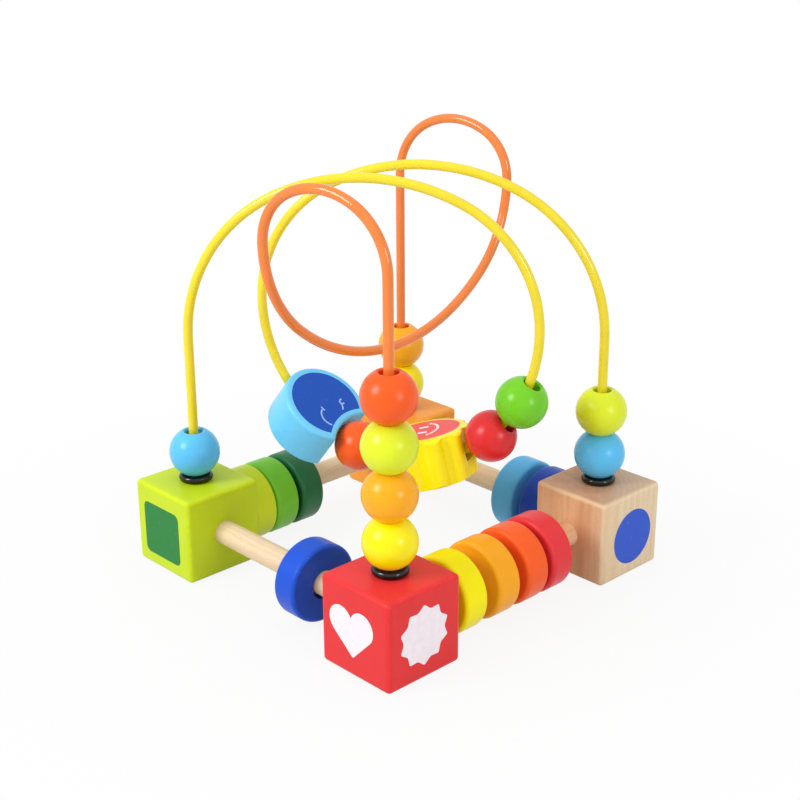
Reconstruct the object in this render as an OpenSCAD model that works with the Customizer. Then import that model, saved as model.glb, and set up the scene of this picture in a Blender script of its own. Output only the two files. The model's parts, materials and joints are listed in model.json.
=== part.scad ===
// Bead maze: two bent wires stand on a square of cubes and dowels.
// Discs slide on the dowels, and beads and two figures slide on the wires.
// Millimetres. The origin is the middle of the square on the table, +Z is up,
// and X and Y run along the dowels.

/* [Base] */
// edge of each corner cube
cube_size = 40; // [34:0.5:46]
// distance between the middles of two cubes on one dowel
spacing = 130; // [120:1:150]
// rounding along the edges of a cube
cube_round = 2.2; // [0.8:0.1:3]
// diameter of the dowels
dowel_d = 11; // [9:0.5:12]
// distance from the middle of a cube to the glued end of its dowels
dowel_core = 8; // [7:0.5:10]
// depth to which a wire is glued into a cube
wire_seat = 22; // [15:0.5:26]
// film of glue around a dowel or a wire
glue_film = 0.05; // [0.02:0.01:0.1]

/* [Discs] */
// gap between a hanging disc and the table
table_gap = 1.8; // [0.5:0.1:5]
// thickness of a disc
disc_t = 13; // [10:0.5:15]
// rounding of a disc's rim
disc_round = 2; // [1:0.1:3]
// bore of a disc, loose on its dowel
disc_bore = 13; // [12.4:0.1:15]
// gap left above the dowel where a hanging disc bears on it
hang_gap = 0.3; // [0.1:0.05:0.5]
// gap between the red cube and the royal blue disc
royal_gap = 21; // [10:0.5:40]
// gap in front of each warm disc, counted from the red cube
warm_gaps = [6.5, 7, 5, 3]; // [0.3:0.1:9]
// gap in front of each green disc, counted from the lime cube
green_gaps = [0.3, 0.5, 2.3]; // [0.3:0.1:9]
// gap in front of each blue disc, counted from the plain wood cube
blue_gaps = [0.3, 4.8]; // [0.3:0.1:9]

/* [Beads] */
// diameter of a bead
bead_d = 23; // [20:0.5:25]
// bore of a bead
bead_bore = 8; // [7.6:0.1:9]
// rounding at the mouth of a bead's bore
mouth_round = 1; // [0.5:0.1:1.4]
// width of the flat ring around the mouth
mouth_flat = 0.3; // [0.2:0.1:0.8]
// gap between a bead and what it rests on
rest_gap = 0.1; // [0.05:0.05:0.3]

/* [Grommets] */
// diameter of the grommet around a wire's foot
grommet_d = 15.5; // [13:0.5:19]
// height of a grommet
grommet_h = 3.4; // [3.1:0.1:5]
// rounding of a grommet's rim
grommet_round = 1.5; // [0.5:0.1:1.5]
// gap between a grommet and its wire
grommet_gap = 0.1; // [0.05:0.05:0.2]

/* [Wires] */
// diameter of both wires
wire_d = 4.3; // [3.5:0.1:5]
// upright length of the yellow wire above a cube
yellow_post = 68; // [56:1:80]
// turn of the yellow arch away from the diagonal
yellow_swing = -9.5; // [-14:0.5:-6]
// upright length of the orange wire above a cube
orange_post = 122; // [110:1:140]
// turn of the orange arch away from the diagonal
orange_swing = 56; // [46:1:66]
// radius of each bend over the yellow arch
yellow_radii = [73, 92, 61]; // [55:1:95]
// turn of each bend over the yellow arch but the last
yellow_turns = [65, 51]; // [45:1:70]
// radius of each bend over the orange arch
orange_radii = [29, 35, 24]; // [20:1:38]
// turn of each bend over the orange arch but the last
orange_turns = [62, 54]; // [48:1:68]
// radius of the first bend under the orange arch
orange_under = 53; // [45:1:60]
// turn of the first bend under the orange arch
orange_under_turn = 50; // [40:1:55]

/* [Sun and moon] */
// thickness of the sun
sun_t = 22; // [18:0.5:24]
// diameter of the sun over its rays
sun_d = 43; // [36:0.5:44]
// number of rays around the sun
sun_rays = 10; // [8:2:12]
// radius at the end of a ray
ray_r = 5.5; // [5:0.1:6.5]
// depth of the valley between two rays
ray_depth = 2.2; // [1:0.1:2.4]
// rounding of the sun's rims
sun_round = 3; // [1:0.1:4]
// bore through the sun
sun_bore = 8.5; // [8.5:0.1:11]
// thickness of the moon
moon_t = 21; // [18:0.5:24]
// diameter of the moon
moon_d = 40.5; // [34:0.5:42]
// radius of the bite in the moon
bite_r = 25; // [18:0.5:30]
// depth of the bite in the moon
bite_depth = 8; // [5:0.5:9]
// rounding of the moon's rims
moon_round = 1.6; // [0.8:0.1:2]
// bore through the moon
moon_bore = 12; // [10:0.1:13]

/* [Places on the loop] */
// angle of the sun up the loop from its lowest point
sun_angle = 13.5; // [13:0.5:18]
// gap along the wire between the sun and the red bead
sun_gap = 0.7; // [0.4:0.1:2]
// gap along the wire between the red bead and the green one
bead_gap = 0.4; // [0.3:0.1:2]
// gap along the wire between the sun and the lowest bead
low_gap = 1.1; // [0.4:0.1:4]
// gap along the wire between the lowest bead and the moon
moon_gap = 1.4; // [1.1:0.1:3]
// turn of the sun about the wire, out of the loop's plane
sun_roll = -2.5; // [-10:0.5:10]
// turn of the moon about the wire, out of the loop's plane
moon_roll = 11; // [0:1:30]

/* [Hidden] */
$fn = 96;
half = spacing / 2;
reach = half * sqrt(2);
axle_z = cube_size / 2;
inner = half - cube_size / 2;
dowel_seat = cube_size / 2 - dowel_core;
// how far a cut runs past the face that it opens
cut_past = 1;
// bends stop short of each other by a seam, which a ball a hair thicker than the wire closes
seam = 0.16;
ball_swell = 0.04;
ball_d = wire_d + ball_swell;
disc_z = axle_z - (disc_bore - dowel_d) / 2 + hang_gap;
disc_d = 2 * (disc_z - table_gap);
// a bead is a ball cut flat at the width of its mouth
flat_r = bead_bore / 2 + mouth_round + mouth_flat;
bead_h = 2 * sqrt(pow(bead_d / 2, 2) - pow(flat_r, 2));
bead_pitch = bead_h + rest_gap;
stack_z = cube_size + grommet_h + rest_gap;

// bends of an arch as pairs of radius and turn: the last one brings it upright again
function total(v) = len(v) == 0 ? 0 : v * [for (i = v) 1];
function bends(radii, turns) =
    [for (i = [0 : len(radii) - 1]) [radii[i], i < len(turns) ? turns[i] : 180 - total(turns)]];
yellow_bends = bends(yellow_radii, yellow_turns);
orange_bends = bends(orange_radii, orange_turns);

// turn made before bend n, and the way forward and up that the bends before it make
function turn_to(b, n) = n == 0 ? 0 : turn_to(b, n - 1) + b[n - 1][1];
function run_to(b, n) = n == 0 ? 0 :
    run_to(b, n - 1) + b[n - 1][0] * (cos(turn_to(b, n - 1)) - cos(turn_to(b, n)));
function rise_to(b, n) = n == 0 ? 0 :
    rise_to(b, n - 1) + b[n - 1][0] * (sin(turn_to(b, n)) - sin(turn_to(b, n - 1)));

// heading of an arch that leaves the post at angle post_dir, and where it comes down
function heading(post_dir, swing) = post_dir + 180 + swing;
function landing(post_dir, swing, b) =
    reach * [cos(post_dir), sin(post_dir)]
    + run_to(b, len(b)) * [cos(heading(post_dir, swing)), sin(heading(post_dir, swing))];

left_dir = 225;
front_dir = 315;
right_dir = 45;
back_dir = 135;

// yellow loop: one quarter bend each side, centred on the upright axis
yellow_land = landing(left_dir, yellow_swing, yellow_bends);
loop_r = norm(yellow_land);
loop_dir = atan2(yellow_land[1], yellow_land[0]);
loop_z = cube_size + yellow_post + rise_to(yellow_bends, len(yellow_bends));

// orange underside: its second bend ends level on the upright axis
orange_land = landing(front_dir, orange_swing, orange_bends);
orange_way = norm(orange_land);
orange_last = (orange_way - orange_under * (1 - cos(orange_under_turn))) / cos(orange_under_turn);

// half of the angle that a piece on the loop takes up, seen from the loop's centre
function sector(half_length, inward) = atan(half_length / (loop_r - inward));
bead_sector = sector(bead_h / 2, flat_r);
sun_sector = sector(sun_d / 2 - ray_depth, sun_t / 2);
bite_sector = sector(moon_d / 2 - bite_depth, 0);
// angle of a gap along the loop
function arc(gap) = gap / loop_r * 180 / PI;
red_angle = sun_angle + sun_sector + arc(sun_gap) + bead_sector;
green_angle = red_angle + 2 * bead_sector + arc(bead_gap);
low_angle = sun_angle - sun_sector - arc(low_gap) - bead_sector;
moon_angle = low_angle - bead_sector - arc(moon_gap) - bite_sector;
// how far a loop piece hangs below the wire, so that the ends of its bore bear on the wire
function hang(bore, length) =
    bore / 2 - loop_r + sqrt(pow(loop_r - wire_d / 2, 2) - pow(length / 2, 2)) - hang_gap;

echo(loop_r = loop_r, loop_dir = loop_dir, loop_z = loop_z, orange_last = orange_last);
echo(red_angle = red_angle, green_angle = green_angle);
echo(low_angle = low_angle, moon_angle = moon_angle);
echo(bead_sector = bead_sector, sun_sector = sun_sector, bite_sector = bite_sector);
echo(bead_h = bead_h, disc_d = disc_d, stack_z = stack_z);

// square with rounded corners
module soft_square(size, r) {
    square([size - 2 * r, size], center = true);
    square([size, size - 2 * r], center = true);
    for (x = [-1, 1], y = [-1, 1])
        translate([x * (size / 2 - r), y * (size / 2 - r)])
            circle(r = r);
}

// block rounded along all its edges
module soft_cube() {
    intersection_for(turn = [[0, 0, 0], [90, 0, 0], [0, 90, 0]])
        rotate(turn)
            linear_extrude(height = 2 * cube_size, center = true)
                soft_square(cube_size, cube_round);
}

// cube at the post in direction dir, bored for its wire and for the dowels of its two inner faces
module corner_cube(dir) {
    translate([reach * cos(dir), reach * sin(dir), cube_size / 2])
        difference() {
            soft_cube();
            translate([0, 0, cube_size / 2 - wire_seat])
                cylinder(d = wire_d + 2 * glue_film, h = wire_seat + cut_past);
            for (inward = [135, 225])
                rotate([0, 0, dir + inward])
                    translate([cube_size / 2 - dowel_seat, 0, 0])
                        rotate([0, 90, 0])
                            cylinder(d = dowel_d + 2 * glue_film, h = dowel_seat + cut_past);
        }
}

// dowel between two cubes, its middle in direction dir
module dowel(dir) {
    length = 2 * (inner + dowel_seat - glue_film);
    rotate([0, 0, dir])
        translate([half, 0, axle_z])
            rotate([90, 0, 0])
                cylinder(d = dowel_d, h = length, center = true);
}

// ring around the foot of a wire
module grommet(dir) {
    translate([reach * cos(dir), reach * sin(dir), cube_size + grommet_h / 2])
        rotate_extrude()
            disc_outline(grommet_d, grommet_h, wire_d + 2 * grommet_gap, grommet_round);
}

// bend of radius r in an upright plane, from angle a to angle b about its middle
module bend(middle, r, a, b) {
    trim = seam / 2 / r * 180 / PI;
    translate([middle[0], 0, middle[1]])
        rotate([90, 0, 0])
            rotate([0, 0, a + trim])
                rotate_extrude(angle = b - a - 2 * trim)
                    translate([r, 0])
                        circle(d = wire_d);
}

// bends of an arch, up from height z and over in the +X direction
module arch(bends, z) {
    for (i = [0 : len(bends) - 1]) {
        r = bends[i][0];
        a = turn_to(bends, i);
        start = [run_to(bends, i), z + rise_to(bends, i)];
        bend(start + r * [cos(a), -sin(a)], r, 180 - a - bends[i][1], 180 - a);
        translate([start[0], 0, start[1]])
            sphere(d = ball_d);
    }
}

// bends of an underside, down from height z and level at the end of its way
module underside(bends, z) {
    for (i = [0 : len(bends) - 1]) {
        r = bends[i][0];
        a = turn_to(bends, i);
        start = [run_to(bends, i), z - rise_to(bends, i)];
        bend(start + r * [cos(a), sin(a)], r, 180 + a, 180 + a + bends[i][1]);
        translate([start[0], 0, start[1]])
            sphere(d = ball_d);
    }
}

// one wire: two equal halves, half a turn apart, that meet on the upright axis
module wire(post_dir, post, swing, over, land, under) {
    foot = cube_size - wire_seat + glue_film;
    top = cube_size + post;
    land_z = top + rise_to(over, len(over));
    for (turn = [0, 180])
        rotate([0, 0, turn]) {
            translate([reach * cos(post_dir), reach * sin(post_dir), 0]) {
                translate([0, 0, foot])
                    cylinder(d = wire_d, h = top - foot - seam / 2);
                rotate([0, 0, heading(post_dir, swing)])
                    arch(over, top);
            }
            translate([land[0], land[1], 0])
                rotate([0, 0, atan2(land[1], land[0]) + 180])
                    underside(under, land_z);
        }
    translate([0, 0, land_z - rise_to(under, len(under))])
        sphere(d = ball_d);
}

// half outline of a bead from its bore outwards
module bead_outline() {
    low = bead_h / 2 - mouth_round;
    intersection() {
        circle(d = bead_d);
        union() {
            translate([bead_bore / 2 + mouth_round, -bead_h / 2])
                square([bead_d, bead_h]);
            translate([bead_bore / 2, -low])
                square([bead_d, 2 * low]);
            for (z = [-low, low])
                translate([bead_bore / 2 + mouth_round, z])
                    circle(r = mouth_round);
        }
    }
}

// bead along Z, its middle at the origin
module bead() {
    rotate_extrude()
        bead_outline();
}

// bead number n, counted from 0, of the stack on the post in direction dir
module post_bead(dir, n) {
    translate([reach * cos(dir), reach * sin(dir), stack_z + bead_h / 2 + n * bead_pitch])
        bead();
}

// place on the yellow loop: X runs along the wire and Z points to the loop's centre
module on_loop(angle, drop) {
    translate([0, 0, loop_z])
        rotate([0, 0, loop_dir])
            rotate([0, -angle, 0])
                translate([0, 0, -loop_r - drop])
                    children();
}

module loop_bead(angle) {
    on_loop(angle, hang(bead_bore, bead_h))
        rotate([0, 90, 0])
            bead();
}

// half outline of a disc of diameter d and thickness t with a rim rounded by r
module disc_outline(d, t, bore, r) {
    translate([bore / 2, -t / 2])
        square([d / 2 - r - bore / 2, t]);
    translate([bore / 2, -t / 2 + r])
        square([d / 2 - bore / 2, t - 2 * r]);
    for (z = [-1, 1])
        translate([d / 2 - r, z * (t / 2 - r)])
            circle(r = r);
}

// disc hanging on the dowel in direction dir, its middle at the place along the dowel
module disc(dir, place) {
    rotate([0, 0, dir])
        translate([half, place, disc_z])
            rotate([90, 0, 0])
                rotate_extrude()
                    disc_outline(disc_d, disc_t, disc_bore, disc_round);
}

// place of disc n in a row that starts at the cube at the negative end of its dowel
function row_place(gaps, n) = n == 0 ? -inner + gaps[0] + disc_t / 2 :
    row_place(gaps, n - 1) + disc_t + gaps[n];

// moon: a round block with a bite on the side of +X
module moon_block() {
    bite_at = moon_d / 2 - bite_depth + bite_r;
    difference() {
        rotate_extrude()
            disc_outline(moon_d, moon_t, 0, moon_round);
        translate([bite_at, 0, 0])
            rotate_extrude()
                flared_outline(bite_r, moon_t, moon_round);
        rotate([0, 90, 0])
            cylinder(d = moon_bore, h = 2 * moon_d, center = true);
    }
}

// half outline of a cutter that rounds the rims of what it cuts
module flared_outline(r, t, round) {
    difference() {
        translate([0, -t / 2 - cut_past])
            square([r + round, t + 2 * cut_past]);
        translate([r, -t / 2 + round])
            square([2 * round, t - 2 * round]);
        for (z = [-1, 1])
            translate([r + round, z * (t / 2 - round)])
                circle(r = round);
    }
}

// sun: a turned blank with round rays and a valley facing each way along the wire
module sun_block() {
    difference() {
        intersection() {
            linear_extrude(height = sun_t + cut_past, center = true) {
                circle(r = sun_d / 2 - ray_depth);
                for (i = [0 : sun_rays - 1])
                    rotate((i + 0.5) * 360 / sun_rays)
                        translate([sun_d / 2 - ray_r, 0])
                            circle(r = ray_r);
            }
            rotate_extrude()
                disc_outline(sun_d + cut_past, sun_t, 0, sun_round);
        }
        rotate([0, 90, 0])
            cylinder(d = sun_bore, h = 2 * sun_d, center = true);
    }
}

module red_cube() color([0.94, 0.29, 0.31]) corner_cube(front_dir);
module lime_cube() color([0.75, 0.85, 0.2]) corner_cube(left_dir);
module wood_cube() color([0.85, 0.72, 0.55]) corner_cube(right_dir);
module orange_cube() color([0.97, 0.61, 0.26]) corner_cube(back_dir);

module dowel_front_left() color([0.93, 0.8, 0.63]) dowel(270);
module dowel_front_right() color([0.93, 0.8, 0.63]) dowel(0);
module dowel_back_left() color([0.93, 0.8, 0.63]) dowel(180);
module dowel_back_right() color([0.93, 0.8, 0.63]) dowel(90);

module yellow_wire() color([0.94, 0.84, 0.2])
    wire(left_dir, yellow_post, yellow_swing, yellow_bends, yellow_land, [[loop_r, 90]]);
module orange_wire() color([0.95, 0.5, 0.22])
    wire(front_dir, orange_post, orange_swing, orange_bends, orange_land,
        [[orange_under, orange_under_turn], [orange_last, 90 - orange_under_turn]]);

module grommet_front() color([0.06, 0.06, 0.07]) grommet(front_dir);
module grommet_left() color([0.06, 0.06, 0.07]) grommet(left_dir);
module grommet_right() color([0.06, 0.06, 0.07]) grommet(right_dir);
module grommet_back() color([0.06, 0.06, 0.07]) grommet(back_dir);

module disc_royal_blue() color([0.2, 0.35, 0.85]) disc(270, inner - royal_gap - disc_t / 2);

module disc_yellow() color([0.98, 0.88, 0.05]) disc(0, row_place(warm_gaps, 0));
module disc_light_orange() color([0.98, 0.65, 0.2]) disc(0, row_place(warm_gaps, 1));
module disc_orange() color([0.96, 0.42, 0.2]) disc(0, row_place(warm_gaps, 2));
module disc_red() color([0.9, 0.27, 0.3]) disc(0, row_place(warm_gaps, 3));

module disc_lime() color([0.7, 0.77, 0.2]) disc(180, -row_place(green_gaps, 0));
module disc_green() color([0.42, 0.7, 0.25]) disc(180, -row_place(green_gaps, 1));
module disc_dark_green() color([0.2, 0.42, 0.28]) disc(180, -row_place(green_gaps, 2));

module disc_dark_blue() color([0.14, 0.25, 0.6]) disc(90, row_place(blue_gaps, 0));
module disc_light_blue() color([0.3, 0.6, 0.8]) disc(90, row_place(blue_gaps, 1));

module bead_front_1() color([0.98, 0.92, 0.05]) post_bead(front_dir, 0);
module bead_front_2() color([0.98, 0.7, 0.15]) post_bead(front_dir, 1);
module bead_front_3() color([0.85, 0.92, 0.22]) post_bead(front_dir, 2);
module bead_front_4() color([0.97, 0.38, 0.13]) post_bead(front_dir, 3);
module bead_left_1() color([0.4, 0.75, 0.93]) post_bead(left_dir, 0);
module bead_right_1() color([0.4, 0.75, 0.93]) post_bead(right_dir, 0);
module bead_right_2() color([0.85, 0.92, 0.22]) post_bead(right_dir, 1);
module bead_back_1() color([0.98, 0.92, 0.05]) post_bead(back_dir, 0);
module bead_back_2() color([0.98, 0.65, 0.2]) post_bead(back_dir, 1);

module loop_bead_red() color([0.9, 0.22, 0.25]) loop_bead(red_angle);
module loop_bead_green() color([0.45, 0.8, 0.2]) loop_bead(green_angle);
module loop_bead_orange() color([0.95, 0.33, 0.13]) loop_bead(low_angle);

module sun() color([0.97, 0.88, 0.05])
    on_loop(sun_angle, hang(sun_bore, sun_d - 2 * ray_depth)) rotate([sun_roll, 0, 0]) sun_block();
module moon() color([0.48, 0.82, 0.98])
    on_loop(moon_angle, hang(moon_bore, moon_d)) rotate([moon_roll, 0, 0]) moon_block();

red_cube();
lime_cube();
wood_cube();
orange_cube();
dowel_front_left();
dowel_front_right();
dowel_back_left();
dowel_back_right();
yellow_wire();
orange_wire();
grommet_front();
grommet_left();
grommet_right();
grommet_back();
disc_royal_blue();
disc_yellow();
disc_light_orange();
disc_orange();
disc_red();
disc_lime();
disc_green();
disc_dark_green();
disc_dark_blue();
disc_light_blue();
bead_front_1();
bead_front_2();
bead_front_3();
bead_front_4();
bead_left_1();
bead_right_1();
bead_right_2();
bead_back_1();
bead_back_2();
loop_bead_red();
loop_bead_green();
loop_bead_orange();
sun();
moon();
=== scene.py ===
# %% [markdown]
# # A wooden bead maze
# This baby toy is a square of four blocks and dowels that carries two bent wires. Discs slide on the dowels,
# and beads, a sun and a moon slide on the wires. The construction model already gives every solid its true
# size and place, so the lesson loads it as a fixed frame, sets up the photograph, finishes each surface,
# softens the blocks and lays the printed shapes on them.

# %% Load the frame
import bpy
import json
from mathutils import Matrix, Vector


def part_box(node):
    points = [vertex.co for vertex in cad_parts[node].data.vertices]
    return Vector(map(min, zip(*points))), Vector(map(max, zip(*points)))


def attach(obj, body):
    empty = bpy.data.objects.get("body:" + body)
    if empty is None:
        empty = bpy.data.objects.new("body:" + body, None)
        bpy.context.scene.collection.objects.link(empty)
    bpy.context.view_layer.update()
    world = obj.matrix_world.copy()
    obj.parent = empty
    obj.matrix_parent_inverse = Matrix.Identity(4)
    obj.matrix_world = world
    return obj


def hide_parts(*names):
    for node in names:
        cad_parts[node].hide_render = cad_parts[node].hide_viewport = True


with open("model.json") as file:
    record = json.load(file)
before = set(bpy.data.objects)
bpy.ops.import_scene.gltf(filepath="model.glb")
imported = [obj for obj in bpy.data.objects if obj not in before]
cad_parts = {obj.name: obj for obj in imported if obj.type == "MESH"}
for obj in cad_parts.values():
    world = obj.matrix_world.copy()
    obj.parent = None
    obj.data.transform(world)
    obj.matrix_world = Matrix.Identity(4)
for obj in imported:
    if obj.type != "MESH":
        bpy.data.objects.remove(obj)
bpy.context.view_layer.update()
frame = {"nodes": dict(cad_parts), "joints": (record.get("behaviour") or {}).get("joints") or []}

# %% Bring in the modelling tools
import json
import math

import bmesh
import bpy
from mathutils import Matrix, Vector

MM = 0.001
scene = bpy.context.scene
scene.view_settings.view_transform = "Standard"
print("Lengths are in metres, and colours are shown by", scene.view_settings.view_transform)

# %% [markdown]
# ## The camera
# The photograph looks down on the red block from a little over the table, with a long lens that keeps the
# uprights nearly parallel. A camera could be aimed with a constraint, but three directions written out as the
# columns of a turn show exactly where its right, its up and its back point.

# %% Place the camera
view_azimuth = math.radians(46.53)
view_elevation = math.radians(20.75)
view_tilt = math.radians(-0.33)
view_distance = 670.6 * MM
view_target = Vector((1.2, 1.3, 79)) * MM
view_lens = 67.33

back = Vector((
    math.sin(view_azimuth) * math.cos(view_elevation),
    -math.cos(view_azimuth) * math.cos(view_elevation),
    math.sin(view_elevation),
))
right = Vector((math.cos(view_azimuth), math.sin(view_azimuth), 0))
up = back.cross(right)
aim = Matrix((right, up, back)).transposed() @ Matrix.Rotation(view_tilt, 3, "Z")

lens = bpy.data.cameras.new("studio_camera")
lens.lens = view_lens
camera = bpy.data.objects.new("studio_camera", lens)
camera.matrix_world = Matrix.Translation(view_target + back * view_distance) @ aim.to_4x4()
scene.collection.objects.link(camera)
scene.camera = camera
print("Camera stands at", [round(part, 3) for part in camera.location], "m")

# %% [markdown]
# ## Shader helpers
# A finish is a tree of shader nodes. Adding a node, setting its options and joining its sockets take the same
# lines each time, so a few small helpers do that work and leave each finish readable.

# %% Helpers for shader nodes
def add_node(tree, kind, options=None, sockets=None):
    """Add a node, set its options, and fill its sockets with values or with links."""
    made = tree.nodes.new("ShaderNode" + kind)
    for option, value in (options or {}).items():
        setattr(made, option, value)
    for name, value in (sockets or {}).items():
        if isinstance(value, bpy.types.NodeSocket):
            tree.links.new(value, made.inputs[name])
        else:
            made.inputs[name].default_value = value
    return made


def reckon(tree, operation, first, second):
    """Work out one number from two."""
    return add_node(tree, "Math", {"operation": operation}, {0: first, 1: second}).outputs[0]


def reckon_vector(tree, operation, first, second=(0, 0, 0), result="Vector"):
    """Work out a vector from two, or one number where the result is a Value."""
    return add_node(tree, "VectorMath", {"operation": operation}, {0: first, 1: second}).outputs[result]


def remap(tree, value, from_low, from_high, to_low, to_high):
    """Stretch one span of numbers over another and stop at its ends."""
    sockets = {
        "Value": value,
        "From Min": from_low, "From Max": from_high,
        "To Min": to_low, "To Max": to_high,
    }
    return add_node(tree, "MapRange", None, sockets).outputs[0]


print("Helpers:", [helper.__name__ for helper in (add_node, reckon, reckon_vector, remap)])

# %% [markdown]
# ## The white studio
# The toy stands on a white floor between two softboxes, a strong one on the left and a weak one on the right.
# The white walls give some light of their own and the ceiling more. The floor is a real matt surface for the
# light that bounces off it. For the camera it is plain white away from the toy, and near the toy it keeps a
# share of the matt surface, so that the soft shadow shows.

# %% Build the walls and the ceiling
white = (1, 1, 1, 1)
wall_light = 0.25
ceiling_light = 1.04


def ray_kind(tree):
    """1 for what the camera, a mirror or a clear piece sees directly, 0 for light that bounces."""
    light_path = add_node(tree, "LightPath")
    seen = light_path.outputs["Is Camera Ray"]
    for kind in ("Is Glossy Ray", "Is Transmission Ray"):
        seen = reckon(tree, "MAXIMUM", seen, light_path.outputs[kind])
    return seen


walls = bpy.data.worlds.new("white_walls")
walls.use_nodes = True
scene.world = walls
tree = walls.node_tree
direction = add_node(tree, "TexCoord").outputs["Generated"]
height = add_node(tree, "SeparateXYZ", None, {0: direction}).outputs["Z"]
room_light = remap(tree, height, 0, 1, wall_light, ceiling_light)
strength = reckon(tree, "MAXIMUM", room_light, ray_kind(tree))
tree.nodes["Background"].inputs["Color"].default_value = white
tree.links.new(strength, tree.nodes["Background"].inputs["Strength"])
print("The walls give", wall_light, "and the ceiling", ceiling_light, "of full white")

# %% Paint the floor
floor_grey = (0.72, 0.72, 0.72, 1)
floor_shadow = 0.11
shadow_near = 110 * MM
shadow_far = 260 * MM

floor_paint = bpy.data.materials.new("white_floor")
floor_paint.use_nodes = True
tree = floor_paint.node_tree
matt = add_node(tree, "BsdfDiffuse", None, {"Color": floor_grey}).outputs[0]
plain_white = add_node(tree, "Emission", None, {"Color": white, "Strength": 1}).outputs[0]
floor_place = add_node(tree, "TexCoord").outputs["Object"]
from_toy = reckon_vector(tree, "LENGTH", floor_place, result="Value")
whiteness = remap(tree, from_toy, shadow_near, shadow_far, 1 - floor_shadow, 1)
share = reckon(tree, "MULTIPLY", ray_kind(tree), whiteness)
floor_mix = add_node(tree, "MixShader", None, {0: share, 1: matt, 2: plain_white}).outputs[0]
tree.links.new(floor_mix, tree.nodes["Material Output"].inputs["Surface"])
print("The floor shows its shadow up to", shadow_far, "m from the middle of the toy")

# %% Lay the floor
floor_half = 3
floor_drop = 0.1 * MM

floor_mesh = bpy.data.meshes.new("floor")
shape = bmesh.new()
bmesh.ops.create_grid(shape, x_segments=1, y_segments=1, size=floor_half)
bmesh.ops.translate(shape, verts=shape.verts, vec=(0, 0, -floor_drop))
shape.to_mesh(floor_mesh)
shape.free()
floor_mesh.materials.append(floor_paint)
floor = bpy.data.objects.new("floor", floor_mesh)
scene.collection.objects.link(floor)
print("The floor is", floor.dimensions.x, "m wide")

# %% Hang the two softboxes
box_target = Vector((0, 0, 90)) * MM
box_distance = 1.2


def softbox(name, direction, side, power):
    """Hang a square lamp in a direction from the toy and turn it to face the toy."""
    lamp = bpy.data.lights.new(name, "AREA")
    lamp.size = side
    lamp.energy = power
    box = bpy.data.objects.new(name, lamp)
    away = Vector(direction).normalized()
    box.location = box_target + away * box_distance
    box.rotation_euler = away.to_track_quat("Z", "Y").to_euler()
    scene.collection.objects.link(box)
    print(name, "gives", power, "W from", [round(part, 2) for part in box.location])


softbox("left_softbox", direction=(-0.22, -0.82, 0.53), side=0.45, power=7.9)
softbox("right_softbox", direction=(0.96, -0.03, 0.27), side=0.32, power=3.2)

# %% [markdown]
# ## Colours and patterns
# Wood, paint and ink are never one even colour. Each finish therefore mixes a few tones of its colour by
# patterns of noise, which are fixed in space and as wide as the real marks. An image could be wrapped around
# each solid instead, but noise needs no unwrapping and stays sharp in a close view.

# %% Colours as a paint card writes them
def paint(red, green, blue):
    """A colour given in steps from 0 to 255, turned into the light values that shaders use."""
    def linear(step):
        part = step / 255
        return part / 12.92 if part <= 0.04045 else ((part + 0.055) / 1.055) ** 2.4
    return (linear(red), linear(green), linear(blue), 1)


def tone(colour, factor):
    """The same colour, lighter or darker."""
    return tuple(min(part * factor, 1) for part in colour[:3]) + (1,)


print("A middle grey is", round(paint(128, 128, 128)[0], 3), "of full light")

# %% Patterns and finishes
noise_span = (0.3, 0.7)


def noise(tree, place, size, detail=3, stretch=(1, 1, 1)):
    """Random clouds about as wide as size, drawn out along each axis by stretch."""
    squeeze = tuple(1 / (size * part) for part in stretch)
    spread = add_node(tree, "Mapping", None, {"Vector": place, "Scale": squeeze}).outputs[0]
    return add_node(tree, "TexNoise", None, {"Vector": spread, "Scale": 1, "Detail": detail}).outputs[0]


def blend(tree, factor, first, second):
    """Mix two colours, from the first at 0 to the second at 1."""
    return add_node(tree, "Mix", {"data_type": "RGBA"}, {0: factor, 6: first, 7: second}).outputs[2]


def start_finish(name, shine):
    """A new material with its shader, how strongly it mirrors, and the place of each point on the toy."""
    finish = bpy.data.materials.new(name)
    finish.use_nodes = True
    tree = finish.node_tree
    shader = tree.nodes["Principled BSDF"]
    shader.inputs["Specular IOR Level"].default_value = shine
    place = add_node(tree, "TexCoord").outputs["Object"]
    return finish, tree, shader, place


def raise_surface(tree, shader, height, depth):
    """Let a pattern stand out from the surface by a depth."""
    bump = add_node(tree, "Bump", None, {"Height": height, "Strength": 1, "Distance": depth})
    tree.links.new(bump.outputs[0], shader.inputs["Normal"])


print("Most of a noise pattern lies from", noise_span[0], "to", noise_span[1])

# %% [markdown]
# ## Worn edges and painted edge highlights
# Small hands rub the paint along the edges first, so a block or a disc has lost a few specks of paint there.
# The edges are also painted a little paler, partly as wear and partly as a painted highlight where the
# rounded edge catches the light. Blender can guess edges from the mesh, but a distance measured on the solid
# itself is exact: on a face only one side of the box is near, and along an edge two are.

# %% Measure how near an edge is
def from_middle(tree, place, solid):
    """Each point's place as seen from the middle of a solid, and half the solid's size."""
    low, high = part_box(solid)
    centred = add_node(tree, "Mapping", None, {"Vector": place, "Location": (low + high) / -2}).outputs[0]
    return centred, (high - low) / 2


def block_edge(tree, place, block):
    """How far inside a block's edges a point lies: the second of its three distances to the faces."""
    centred, half = from_middle(tree, place, block)
    inside = reckon_vector(tree, "SUBTRACT", half, reckon_vector(tree, "ABSOLUTE", centred))
    x, y, z = add_node(tree, "SeparateXYZ", None, {0: inside}).outputs
    nearer, farther = reckon(tree, "MINIMUM", x, y), reckon(tree, "MAXIMUM", x, y)
    return reckon(tree, "MAXIMUM", nearer, reckon(tree, "MINIMUM", farther, z))


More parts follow.
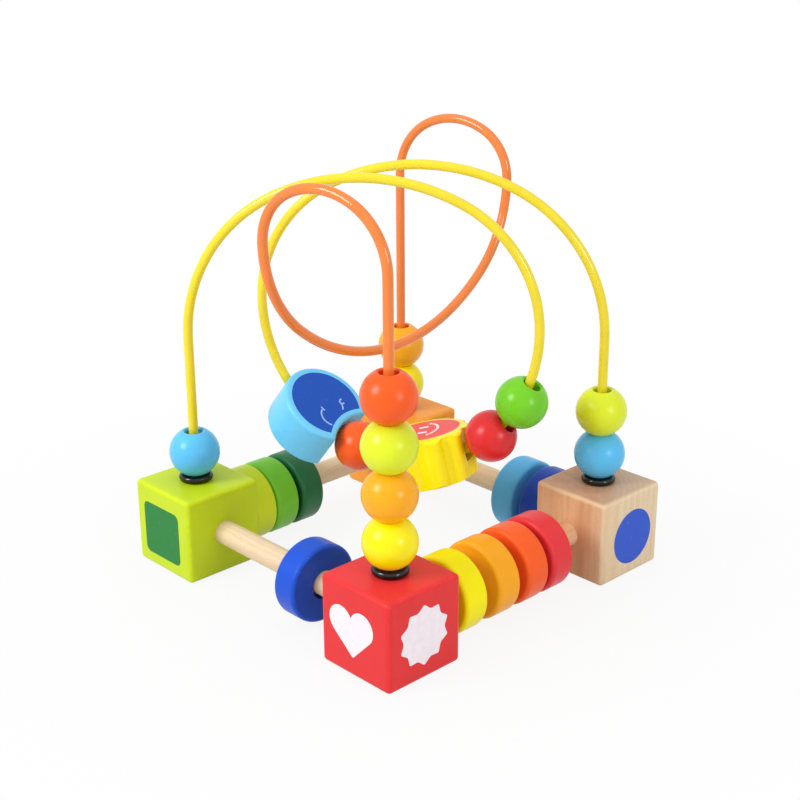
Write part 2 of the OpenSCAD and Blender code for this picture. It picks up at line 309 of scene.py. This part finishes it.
def disc_edge(tree, place, disc):
    """How far inside a disc's rims a point lies: the larger of its ways to the flat and the round side."""
    centred, half = from_middle(tree, place, disc)
    axle = (1, 0, 0) if half.x < half.y else (0, 1, 0)
    along = reckon_vector(tree, "DOT_PRODUCT", centred, axle, result="Value")
    flat_side = reckon(tree, "SUBTRACT", min(half), reckon(tree, "ABSOLUTE", along, 0))
    lying = tuple(1 - part for part in axle)
    spoke = reckon_vector(tree, "MULTIPLY", centred, lying)
    radius = reckon_vector(tree, "LENGTH", spoke, result="Value")
    return reckon(tree, "MAXIMUM", flat_side, reckon(tree, "SUBTRACT", max(half), radius))


print("Edges are measured by", block_edge.__name__, "and", disc_edge.__name__)

# %% Rub the paint off and paint the edges paler as a highlight
# How far the paler edge reaches and how pale it is: the paleness is partly wear and partly a painted
# highlight.
wear_and_highlight_to = 1.5 * MM
wear_and_highlight_fully = 0.4 * wear_and_highlight_to
wear_and_highlight_share = 0.3
wear_and_highlight_tone = 1.5
patch_width = 4 * MM
patch_span = (0.35, 0.6)
chip_width = 0.7 * MM
chip_span = (0.77, 0.79)
chip_gain = 2.5
bare_chip = paint(240, 205, 160)


def wear_and_highlight_coat(tree, place, coat, colour, inside):
    """Make a coat paler near the edges, in patches, as wear and as a painted highlight, with specks of bare
    wood.
    """
    # Near the edges the coat is painted paler in patches, partly as wear and partly as a painted highlight;
    # the chips are wear.
    paled = remap(tree, inside, wear_and_highlight_fully, wear_and_highlight_to, wear_and_highlight_share, 0)
    patchy = remap(tree, noise(tree, place, patch_width), *patch_span, 0, 1)
    coat = blend(tree, reckon(tree, "MULTIPLY", paled, patchy), coat, tone(colour, wear_and_highlight_tone))
    chips = remap(tree, noise(tree, place, chip_width, 1), *chip_span, 0, chip_gain)
    return blend(tree, reckon(tree, "MULTIPLY", paled, chips), coat, bare_chip)


# The paler edges are a painted highlight as well as wear, and the chips are wear.
print("Edges are worn over", wear_and_highlight_to / MM, "mm and chips are", chip_width / MM, "mm wide")

# %% [markdown]
# ## Painted wood
# The blocks, discs and beads are turned or sawn from wood and dipped in toy paint. The coat is a little
# uneven, and the raised fibres of the wood show through as faint streaks along the grain. One flat colour
# would look like plastic, so fine drawn-out noise tints the paint and lifts it, and broad noise varies its
# tone and its gloss.

# %% Mix the painted finish
fibre_width = 0.9 * MM
fibre_relief = 0.02 * MM
cloud_width = 14 * MM
upright_grain = (1, 1, 12)
coat_dark = 0.95
coat_light = 1.04
satin = {"gloss": (0.31, 0.4), "shine": 0.19}
semi_gloss = {"gloss": (0.24, 0.31), "shine": 0.3}


def painted_wood(name, colour, gloss, streaks, shine, edge=None, solid=None):
    """Paint over wood: streaks along the grain, clouds of tone and gloss, and worn edges with a painted
    highlight where it has any.
    """
    finish, tree, shader, place = start_finish(name, shine)
    fibres = noise(tree, place, fibre_width, 4, upright_grain)
    clouds = noise(tree, place, cloud_width)
    fibre_part = remap(tree, fibres, *noise_span, 0, streaks)
    cloud_part = remap(tree, clouds, *noise_span, 0, 1 - streaks)
    uneven = reckon(tree, "ADD", fibre_part, cloud_part)
    coat = blend(tree, uneven, tone(colour, coat_dark), tone(colour, coat_light))
    # Worn edges: paler paint that is partly a painted highlight, and chips of bare wood.
    if edge:
        coat = wear_and_highlight_coat(tree, place, coat, colour, edge(tree, place, solid))
    tree.links.new(coat, shader.inputs["Base Color"])
    tree.links.new(remap(tree, clouds, *noise_span, *gloss), shader.inputs["Roughness"])
    raise_surface(tree, shader, fibres, fibre_relief * streaks)
    return finish


print("Paint streaks are", fibre_width / MM, "mm wide and clouds", cloud_width / MM, "mm")

# %% [markdown]
# ## Bare wood
# One block and the four dowels are left unpainted, with only a clear sealing coat. A board is a slice of a
# trunk, so its lines are parts of rings around the trunk's middle: brown heartwood inside, pale sapwood
# outside. Rings from the wave texture, soft bands in the heartwood, fine fibres and short dark pores, all
# drawn out along the grain, give both the lines on the sides and the arcs on the end of the block.

# %% Find the rings of a trunk
ring_width = 2.6 * MM
full_wave = 20 / math.tau
ring_wobble = {"Distortion": 3, "Detail": 2, "Detail Scale": 1.5}


def trunk_rings(tree, place, grain, trunk_middle):
    """The rings around the middle of a trunk, and how far from that middle each point lies."""
    length_axis = "XYZ"[grain.index(max(grain))]
    squeeze = tuple(1 / (ring_width * full_wave * part) for part in grain)
    shift = -Vector(trunk_middle)
    in_trunk = add_node(tree, "Mapping", None, {"Vector": place, "Location": shift}).outputs[0]
    spread = add_node(tree, "Mapping", None, {"Vector": in_trunk, "Scale": squeeze}).outputs[0]
    rings = add_node(
        tree, "TexWave", {"wave_type": "RINGS", "rings_direction": length_axis},
        {"Vector": spread, "Scale": 1, **ring_wobble},
    ).outputs["Fac"]
    across = tuple(0 if part == max(grain) else 1 for part in grain)
    spoke = reckon_vector(tree, "MULTIPLY", in_trunk, across)
    return rings, reckon_vector(tree, "LENGTH", spoke, result="Value")


print("Rings are", ring_width / MM, "mm wide")

# %% Saw a block from it
sapwood = paint(235, 213, 178)
end_grain = paint(170, 116, 98)
saw_start = 0.8 * MM
saw_full = 0.2 * MM
# How far the painted edge highlight reaches, and the share of end grain on the top and of highlight on the
# edges.
edge_highlight_to = 1.3 * wear_and_highlight_to
edge_highlight_fully = 0.5 * wear_and_highlight_to
end_grain_and_highlight_share = 0.45


def sawn_block(tree, place, colour, block):
    """Darken the sawn top of a bare block and make its edges pale, which is a painted highlight."""
    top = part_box(block)[1].z
    height = add_node(tree, "SeparateXYZ", None, {0: place}).outputs["Z"]
    sawn_end = remap(tree, height, top - saw_start, top - saw_full, 0, end_grain_and_highlight_share)
    colour = blend(tree, sawn_end, colour, end_grain)
    # The pale band along the edges is a painted highlight, blended toward the sapwood colour.
    paled = remap(tree, block_edge(tree, place, block), edge_highlight_fully, edge_highlight_to, end_grain_and_highlight_share, 0)
    return blend(tree, paled, colour, sapwood)


# The pale band on the bare block's edges is a painted highlight.
print("A bare block is rubbed over", round(edge_highlight_to / MM, 2), "mm of its edges")

# %% Mix the bare finish
heart_edge = 13 * MM
band_width = 5 * MM
grain_width = 0.7 * MM
pore_width = 0.35 * MM
pore_stretch = 0.6
heartwood = paint(236, 190, 144)
band_brown = paint(198, 132, 96)
pore_brown = paint(176, 128, 92)
ring_tone = 0.8
fibre_tone = 0.9
# where a pattern begins and is full, and the shares of its colour there
band_mix = (0.44, 0.66, 0, 0.45)
ring_mix = (0.2, 0.9, 0, 0.2)
fibre_mix = (0.45, 0.8, 0, 0.45)
pore_mix = (0.62, 0.72, 0, 0.4)
bare_gloss = (0.4, 0.52)


def bare_wood(name, grain, trunk_middle, heart_radius, block=None):
    """Sealed pale hardwood cut from beside the middle of a trunk, with the sawn top of a block."""
    finish, tree, shader, place = start_finish(name, shine=0.25)
    rings, radius = trunk_rings(tree, place, grain, trunk_middle)
    bands = noise(tree, place, band_width, 3, grain)
    fibres = noise(tree, place, grain_width, 4, grain)
    pores = noise(tree, place, pore_width, 2, tuple(part ** pore_stretch for part in grain))
    banded = blend(tree, remap(tree, bands, *band_mix), heartwood, band_brown)
    outward = remap(tree, radius, heart_radius, heart_radius + heart_edge, 0, 1)
    colour = blend(tree, outward, banded, sapwood)
    colour = blend(tree, remap(tree, rings, *ring_mix), colour, tone(heartwood, ring_tone))
    colour = blend(tree, remap(tree, fibres, *fibre_mix), colour, tone(heartwood, fibre_tone))
    colour = blend(tree, remap(tree, pores, *pore_mix), colour, pore_brown)
    if block:
        colour = sawn_block(tree, place, colour, block)
    tree.links.new(colour, shader.inputs["Base Color"])
    tree.links.new(remap(tree, fibres, *noise_span, *bare_gloss), shader.inputs["Roughness"])
    raise_surface(tree, shader, fibres, fibre_relief)
    return finish


print("Fibres are", grain_width / MM, "mm wide and pores", pore_width / MM, "mm")

# %% [markdown]
# ## Coated wire and rubber
# The wires are steel in a smooth coloured coat, and a black ring closes the hole around each foot. The coat
# hides the metal, so only a slow change of tone, a slight ripple and some scuffs are left for the light to
# find.

# %% Mix the smooth finishes
even_dark = 0.96
even_light = 1.03
ripple_width = 12 * MM
ripple_relief = 0.005 * MM
scuff_width = 1.2 * MM
scuff_gloss = (0.4, 0.75, 0.1, 0.17)
dust_width = 1.5 * MM
dust_mix = (0.55, 0.85, 0, 1)
dust_gloss = (0.1, 0.2)
dust_relief = 0.01 * MM
clean_rubber = paint(4, 4, 5)
dusty_rubber = paint(24, 24, 27)


def even_colour(tree, pattern, colour):
    """A colour that a pattern makes only slightly darker and lighter."""
    factor = remap(tree, pattern, *noise_span, 0, 1)
    return blend(tree, factor, tone(colour, even_dark), tone(colour, even_light))


def coated_wire(name, colour):
    """A smooth, slightly rippled plastic coat."""
    finish, tree, shader, place = start_finish(name, shine=0.5)
    ripples = noise(tree, place, ripple_width)
    scuffs = noise(tree, place, scuff_width, 5)
    tree.links.new(even_colour(tree, ripples, colour), shader.inputs["Base Color"])
    tree.links.new(remap(tree, scuffs, *scuff_gloss), shader.inputs["Roughness"])
    raise_surface(tree, shader, ripples, ripple_relief)
    return finish


def black_ring(name):
    """Glossy black rubber with a trace of dust."""
    finish, tree, shader, place = start_finish(name, shine=0.5)
    dust = noise(tree, place, dust_width, 5)
    colour = blend(tree, remap(tree, dust, *dust_mix), clean_rubber, dusty_rubber)
    tree.links.new(colour, shader.inputs["Base Color"])
    tree.links.new(remap(tree, dust, *noise_span, *dust_gloss), shader.inputs["Roughness"])
    raise_surface(tree, shader, dust, dust_relief)
    return finish


print("Scuffs on the wires are", scuff_width / MM, "mm wide and dust on the rings", dust_width / MM, "mm")

# %% [markdown]
# ## A finish for every solid
# Each solid arrives with a plain stand-in material that carries the name of its finish. The paint cards below
# give the colour of each painted finish. Solids that share a finish share one material, and each block and
# disc has its own, because its worn edges and painted edge highlight are measured on it.

# %% Paint the blocks
block_colours = {
    "red_cube": ("red_paint", paint(228, 52, 54)),
    "lime_cube": ("lime_paint", paint(200, 222, 30)),
    "orange_cube": ("orange_paint", paint(255, 165, 58)),
}
finishes = {}
for block, (slot, colour) in block_colours.items():
    finishes[slot] = painted_wood(slot, colour, streaks=0.4, edge=block_edge, solid=block, **satin)
print("Mixed", len(block_colours), "paints for the blocks")

# %% Paint the discs
disc_colours = {
    "disc_royal_blue": paint(28, 84, 208),
    "disc_yellow": paint(255, 240, 0),
    "disc_light_orange": paint(255, 172, 30),
    "disc_orange": paint(255, 98, 36),
    "disc_red": paint(232, 58, 64),
    "disc_lime": paint(206, 224, 40),
    "disc_green": paint(116, 194, 50),
    "disc_dark_green": paint(42, 110, 66),
    "disc_dark_blue": paint(26, 70, 182),
    "disc_light_blue": paint(92, 184, 240),
}
for disc, colour in disc_colours.items():
    finishes[disc] = painted_wood(disc, colour, streaks=0.2, edge=disc_edge, solid=disc, **satin)
print("Mixed", len(disc_colours), "paints for the discs")

# %% Paint the beads and figures and coat the wires
bead_colours = {
    "bead_yellow": paint(255, 238, 0),
    "bead_orange": paint(255, 174, 20),
    "bead_lime": paint(222, 236, 40),
    "bead_red_orange": paint(248, 92, 22),
    "bead_light_blue": paint(92, 194, 246),
    "bead_red": paint(220, 42, 46),
    "bead_green": paint(114, 204, 30),
    "sun_yellow": paint(255, 240, 0),
    "moon_blue": paint(112, 206, 255),
}
for slot, colour in bead_colours.items():
    finishes[slot] = painted_wood(slot, colour, streaks=0.1, **semi_gloss)
finishes["yellow_coating"] = coated_wire("yellow_coating", paint(242, 220, 36))
finishes["orange_coating"] = coated_wire("orange_coating", paint(240, 130, 54))
finishes["black_rubber"] = black_ring("black_rubber")
print("Mixed", len(bead_colours), "paints for the beads and figures")

# %% Finish the bare solids and hand out the finishes
trunk_left = 8 * MM
trunk_front = 14 * MM
dowel_trunk_aside = 30 * MM
dowel_trunk_up = 60 * MM
wood_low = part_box("wood_cube")[0]
beside_block = (wood_low.x - trunk_left, wood_low.y - trunk_front, 0)
finishes["natural_wood"] = bare_wood(
    "natural_wood", upright_grain, beside_block, heart_radius=42 * MM, block="wood_cube",
)
dowels_along_x = bare_wood(
    "dowel_wood_along_x", (12, 1, 1), (0, dowel_trunk_aside, dowel_trunk_up), heart_radius=38 * MM,
)
dowels_along_y = bare_wood(
    "dowel_wood_along_y", (1, 12, 1), (dowel_trunk_aside, 0, dowel_trunk_up), heart_radius=52 * MM,
)
dowel_wood = {
    "dowel_front_left": dowels_along_x,
    "dowel_back_right": dowels_along_x,
    "dowel_front_right": dowels_along_y,
    "dowel_back_left": dowels_along_y,
}

for name, solid in frame["nodes"].items():
    slot = solid.material_slots[0]
    slot.material = dowel_wood.get(name) or finishes[slot.material.name.split(".")[0]]
used = {solid.material_slots[0].material.name for solid in frame["nodes"].values()}
print("Finished", len(frame["nodes"]), "solids with", len(used), "materials")

# %% [markdown]
# ## Sanded blocks
# A real block is sawn and then tumbled with abrasive, so its edges are round and its corners are like a piece
# of a ball. The construction rounds the edges alone, and they meet in a point. Each block is therefore drawn
# again in the same place and size, as a cube with all its edges bevelled at once, which makes a soft corner
# of three edges.

# %% Round the blocks
block_round = 2.2 * MM
block_steps = 8


def sanded_block(name, solid):
    """Draw a block again with soft corners, in the place and with the finish of its solid."""
    low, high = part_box(solid)
    shape = bmesh.new()
    bmesh.ops.create_cube(shape, size=1)
    bmesh.ops.scale(shape, verts=shape.verts[:], vec=high - low)
    bmesh.ops.translate(shape, verts=shape.verts[:], vec=(low + high) / 2)
    rounded = bmesh.ops.bevel(
        shape, geom=shape.edges[:], offset=block_round, offset_type="OFFSET", affect="EDGES",
        segments=block_steps, profile=0.5, material=-1,
    )["faces"]
    for face in rounded:
        face.smooth = True
    mesh = bpy.data.meshes.new(name)
    shape.to_mesh(mesh)
    shape.free()
    finish = frame["nodes"][solid].material_slots[0].material
    mesh.materials.append(finish)
    block = bpy.data.objects.new(name, mesh)
    scene.collection.objects.link(block)
    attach(block, "frame")
    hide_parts(solid)
    print(name, "has", len(mesh.polygons), "faces,", len(rounded), "of them round")


for colour in ("red", "lime", "wood", "orange"):
    sanded_block(colour + "_block", colour + "_cube")

# %% [markdown]
# ## Printed shapes
# Four outer faces of the blocks carry a printed shape: a green square, a white heart, a white rosette and a
# blue circle. A print is a film of ink, so each shape is drawn flat with a few operators, given the thickness
# of the film and laid on its face. The ink lets some of the paint through in specks.

# %% Mix the ink
mottle_width = 2.5 * MM
speck_width = 0.9 * MM
speck_mix = (0.7, 0.78, 0, 0.3)
speck_relief = 0.01 * MM
ink_gloss = (0.38, 0.52)


def ink(name, colour, under):
    """A print with a fine mottle, through which the paint under it shows in specks."""
    finish, tree, shader, place = start_finish(name, shine=0.2)
    mottle = noise(tree, place, mottle_width, 4)
    specks = noise(tree, place, speck_width, 2)
    mottled = even_colour(tree, mottle, colour)
    specked = blend(tree, remap(tree, specks, *speck_mix), mottled, under)
    tree.links.new(specked, shader.inputs["Base Color"])
    tree.links.new(remap(tree, mottle, *noise_span, *ink_gloss), shader.inputs["Roughness"])
    raise_surface(tree, shader, specks, speck_relief)
    return finish


print("The ink has specks", speck_width / MM, "mm wide")

# %% Lay a film of it
film = 0.05 * MM
corner_steps = 6


def lay_film(name, flat, place, finish, body):
    """Give a flat outline the thickness of a film and lay it on the face of a body."""
    lifted = bmesh.ops.extrude_face_region(flat, geom=flat.faces[:])["geom"]
    verts = [part for part in lifted if isinstance(part, bmesh.types.BMVert)]
    bmesh.ops.translate(flat, verts=verts, vec=(0, 0, film))
    bmesh.ops.recalc_face_normals(flat, faces=flat.faces[:])
    bmesh.ops.transform(flat, matrix=place, verts=flat.verts[:])
    mesh = bpy.data.meshes.new(name)
    flat.to_mesh(mesh)
    flat.free()
    mesh.materials.append(finish)
    piece = bpy.data.objects.new(name, mesh)
    scene.collection.objects.link(piece)
    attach(piece, body)
    print(name, "has", len(mesh.polygons), "faces")


def round_corners(flat, corners, radius):
    """Round some corners of a flat outline."""
    bmesh.ops.bevel(
        flat, geom=corners, offset=radius, offset_type="OFFSET", affect="VERTICES",
        segments=corner_steps, profile=0.5, material=-1,
    )


print("A film of ink is", film / MM, "mm thick")

# %% Find the faces of the blocks
toward_front = ((1, 0, 0), (0, -1, 0))
toward_right = ((0, 1, 0), (1, 0, 0))


def block_face(block, across, outward, shift, lift, turn=0):
    """A place on a block's outer face, moved along it by shift, up by lift and turned by degrees."""
    low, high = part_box(block)
    middle = (low + high) / 2
    half = (high.x - low.x) / 2
    facing = Matrix((across, (0, 0, 1), outward)).transposed().to_4x4()
    spot = middle + Vector(outward) * half + Vector(across) * shift + Vector((0, 0, lift))
    return Matrix.Translation(spot) @ facing @ Matrix.Rotation(math.radians(turn), 4, "Z")


print("The front faces", toward_front[1], "and the right side", toward_right[1])

# %% Print the green square
square_width = 26.1 * MM
square_height = 25.3 * MM
square_round = 3 * MM

flat = bmesh.new()
bmesh.ops.create_grid(flat, x_segments=1, y_segments=1, size=0.5)
bmesh.ops.scale(flat, verts=flat.verts[:], vec=(square_width, square_height, 1))
round_corners(flat, flat.verts[:], square_round)
lime_under = block_colours["lime_cube"][1]
green_ink = ink("green_print", paint(36, 128, 58), lime_under)
green_place = block_face("lime_cube", *toward_front, shift=-0.7 * MM, lift=-1.15 * MM)
lay_film("green_square", flat, green_place, green_ink, "frame")

# %% Print the blue circle
circle_radius = 13 * MM
circle_steps = 96
wood_under = paint(250, 222, 184)

flat = bmesh.new()
bmesh.ops.create_circle(flat, cap_ends=True, segments=circle_steps, radius=circle_radius)
blue_ink = ink("blue_print", paint(48, 90, 206), wood_under)
blue_place = block_face("wood_cube", *toward_right, shift=1.2 * MM, lift=-1.3 * MM)
lay_film("blue_circle", flat, blue_place, blue_ink, "frame")

# %% Print the white rosette
rosette_points = 10
rosette_outer = 13.6 * MM
rosette_inner = 11.2 * MM
point_round = 0.8 * MM
valley_round = 1.0 * MM

flat = bmesh.new()
ring = bmesh.ops.create_circle(
    flat, cap_ends=True, segments=2 * rosette_points, radius=rosette_outer,
)["verts"]
points, valleys = ring[::2], ring[1::2]
inward = rosette_inner / rosette_outer
bmesh.ops.scale(flat, verts=valleys, vec=(inward, inward, 1))
round_corners(flat, points, point_round)
round_corners(flat, valleys, valley_round)
red_under = block_colours["red_cube"][1]
white_ink = ink("white_print", paint(247, 238, 244), red_under)
rosette_place = block_face("red_cube", *toward_right, shift=-0.6 * MM, lift=0)
lay_film("white_rosette", flat, rosette_place, white_ink, "frame")

# %% [markdown]
# The heart is two round lobes and a tip. Half of it is drawn by spinning one point around the middle of a
# lobe, from the notch to where the straight side starts, and the mirror operator makes the other half.

# %% Work out the heart
lobe = 6.7 * MM
lobe_across = 6.15 * MM
lobe_up = 4.2 * MM
tip_down = 10.6 * MM
notch_up = lobe_up + math.sqrt(lobe ** 2 - lobe_across ** 2)
from_tip = math.hypot(lobe_across, lobe_up + tip_down)
side_lean = math.atan2(lobe_up + tip_down, lobe_across) - math.asin(lobe / from_tip)
around = math.pi - math.atan2(notch_up - lobe_up, lobe_across) + math.pi / 2 - side_lean
print("Each lobe of the heart goes round by", round(math.degrees(around)), "degrees")

# %% Print the white heart
lobe_steps = 32
tip_round = 0.8 * MM
weld = 0.01 * MM

flat = bmesh.new()
notch = flat.verts.new((0, notch_up, 0))
arc = bmesh.ops.spin(
    flat, geom=[notch], cent=(lobe_across, lobe_up, 0), axis=(0, 0, -1), angle=around, steps=lobe_steps,
)["geom_last"]
tip = flat.verts.new((0, -tip_down, 0))
flat.edges.new((arc[0], tip))
half = flat.verts[:] + flat.edges[:]
bmesh.ops.mirror(flat, geom=half, axis="X", merge_dist=weld)
bmesh.ops.remove_doubles(flat, verts=flat.verts[:], dist=weld)
bmesh.ops.contextual_create(flat, geom=flat.edges[:])
round_corners(flat, [min(flat.verts, key=lambda corner: corner.co.y)], tip_round)
heart_place = block_face("red_cube", *toward_front, shift=-1.5 * MM, lift=-0.7 * MM, turn=3)
lay_film("white_heart", flat, heart_place, white_ink, "frame")

# %% [markdown]
# ## The faces of the sun and the moon
# The sun has a round pink face and the moon a dark blue one, both inset from the rim and drawn with a few
# pale strokes. The two figures hang on the loop of the yellow wire, so their faces are laid in the same way
# that the construction places them: out along the loop's radius, turned by the angle around it. The joint on
# which the sun travels turns about the middle of the loop, so the frame says where the loop is.

# %% Where the figures are on the loop
travel = next(joint for joint in frame["joints"] if joint["name"] == "sun_travel")
loop_middle = Vector(travel["pos_m"])
loop_heading = math.atan2(travel["axis"][0], -travel["axis"][1])
loop_radius = 66.704 * MM


def on_loop(angle, drop, roll, height):
    """The upper face of a figure on the loop, at an angle from its lowest point.

    The figure's middle hangs by drop below the wire, the figure is rolled about the wire, and its face lies
    by height over its middle.
    """
    return (
        Matrix.Translation(loop_middle)
        @ Matrix.Rotation(loop_heading, 4, "Z")
        @ Matrix.Rotation(-math.radians(angle), 4, "Y")
        @ Matrix.Translation((0, 0, -loop_radius - drop))
        @ Matrix.Rotation(math.radians(roll), 4, "X")
        @ Matrix.Translation((0, 0, height))
    )


sun_face = on_loop(angle=13.5, drop=-1.152 * MM, roll=-2.5, height=11 * MM)
moon_face = on_loop(angle=-37.037, drop=0.292 * MM, roll=11, height=10.5 * MM)
print("The faces are", round(sun_face.translation.z, 3), "and", round(moon_face.translation.z, 3), "m up")

# %% Lay the sun's panel
sun_panel_radius = 16 * MM
sun_print_shift = Matrix.Translation((0.3 * MM, 1.8 * MM, 0))

flat = bmesh.new()
bmesh.ops.create_circle(flat, cap_ends=True, segments=circle_steps, radius=sun_panel_radius)
pink_ink = ink("pink_print", paint(242, 88, 90), bead_colours["sun_yellow"])
lay_film("sun_panel", flat, sun_face @ sun_print_shift, pink_ink, "sun")

# %% [markdown]
# The moon's panel is a disc with a round bite. Two circles cross at the horns, so one point is spun from the
# upper horn around the back to the lower one, and on from there along the bite.

# %% Lay the moon's panel
moon_panel_radius = 17.1 * MM
moon_panel_steps = 64
bite_radius = 25.6 * MM
bite_across = 34.7 * MM
bite_steps = 32
navy = paint(24, 82, 188)
horn_across = (moon_panel_radius ** 2 - bite_radius ** 2 + bite_across ** 2) / (2 * bite_across)
horn_up = math.sqrt(moon_panel_radius ** 2 - horn_across ** 2)
back_way = 2 * (math.pi - math.atan2(horn_up, horn_across))
bite_way = 2 * math.atan2(horn_up, bite_across - horn_across)

flat = bmesh.new()
upper = flat.verts.new((horn_across, horn_up, 0))
arc = bmesh.ops.spin(
    flat, geom=[upper], cent=(0, 0, 0), axis=(0, 0, 1), angle=back_way, steps=moon_panel_steps,
)["geom_last"]
bmesh.ops.spin(
    flat, geom=[arc[0]], cent=(bite_across, 0, 0), axis=(0, 0, -1), angle=bite_way, steps=bite_steps,
)
bmesh.ops.remove_doubles(flat, verts=flat.verts[:], dist=weld)
bmesh.ops.contextual_create(flat, geom=flat.edges[:])
navy_ink = ink("navy_print", navy, bead_colours["moon_blue"])
lay_film("moon_panel", flat, moon_face, navy_ink, "moon")

# %% [markdown]
# The features are pale pen strokes: a closed eye with lashes and a smile on the moon, two tall eyes and a
# smile on the sun. Each stroke is an arc that bows out from the straight line between its ends: a short edge
# as wide as the pen is spun along the arc, and its four corners are rounded off.

# %% Draw a pen stroke
stroke_steps = 12
end_round = 0.48
on_panel = Matrix.Translation((0, 0, film))


def draw_stroke(flat, start, end, bow, width):
    """Add a round-ended stroke from start to end, in mm, that bows out to the right of that way."""
    start, end = Vector((*start, 0)) * MM, Vector((*end, 0)) * MM
    bow, width = bow * MM, width * MM
    chord = end - start
    radius = (chord.length ** 2 / 4 + bow ** 2) / (2 * bow)
    aside = Vector((chord.y, -chord.x, 0)).normalized()
    centre = (start + end) / 2 - aside * (radius - bow)
    half_pen = (start - centre).normalized() * width / 2
    drawn = flat.faces[:]
    pen = [flat.verts.new(start - half_pen), flat.verts.new(start + half_pen)]
    way = 2 * math.asin(chord.length / 2 / radius)
    spun = bmesh.ops.spin(
        flat, geom=pen + [flat.edges.new(pen)], cent=centre, axis=(0, 0, 1), angle=way, steps=stroke_steps,
    )["geom_last"]
    corners = pen + [part for part in spun if isinstance(part, bmesh.types.BMVert)]
    bmesh.ops.dissolve_faces(flat, faces=[face for face in flat.faces if face not in drawn])
    round_corners(flat, corners, end_round * width)


print("A stroke is spun in", stroke_steps, "steps")

# %% Draw the moon's face
moon_pen = 0.8
moon_strokes = {
    "closed_eye": ((7.5, 3.9), (3.2, 6.3), 0.8),
    "outer_lash": ((3.2, 6.8), (3.1, 8.5), 0.1),
    "inner_lash": ((5.1, 6.5), (5.5, 7.9), 0.1),
    "smile": ((1.3, -5.2), (9.8, -8.0), 2.4),
    "dimple": ((0.1, -4.3), (2.5, -4.3), 0.2),
}

flat = bmesh.new()
for start, end, bow in moon_strokes.values():
    draw_stroke(flat, start, end, bow, moon_pen)
pale_ink = ink("pale_strokes", paint(150, 190, 255), navy)
lay_film("moon_smile", flat, moon_face @ on_panel, pale_ink, "moon")

# %% Draw the sun's face
sun_pen = 1.2
sun_eye = 2.4
eye_across = 4.4
eye_half = 2.2
eye_bow = 0.1
smile_half = 8.9
smile_down = 3.4
smile_bow = 3.4
dimple_across = 9.2
dimple_half = 1.1
dimple_down = 2.6
dimple_bow = 0.2
sun_look = Matrix.Rotation(math.radians(109), 4, "Z") @ Matrix.Translation((2.6 * MM, 0, 0))

flat = bmesh.new()
for side in (-1, 1):
    draw_stroke(flat, (side * eye_across, eye_half), (side * eye_across, -eye_half), eye_bow, sun_eye)
draw_stroke(flat, (-smile_half, -smile_down), (smile_half, -smile_down), smile_bow, sun_pen)
for side in (-1, 1):
    start = (side * dimple_across - dimple_half, -dimple_down)
    end = (side * dimple_across + dimple_half, -dimple_down)
    draw_stroke(flat, start, end, dimple_bow, sun_pen)
lay_film("sun_smile", flat, sun_face @ on_panel @ sun_look, white_ink, "sun")
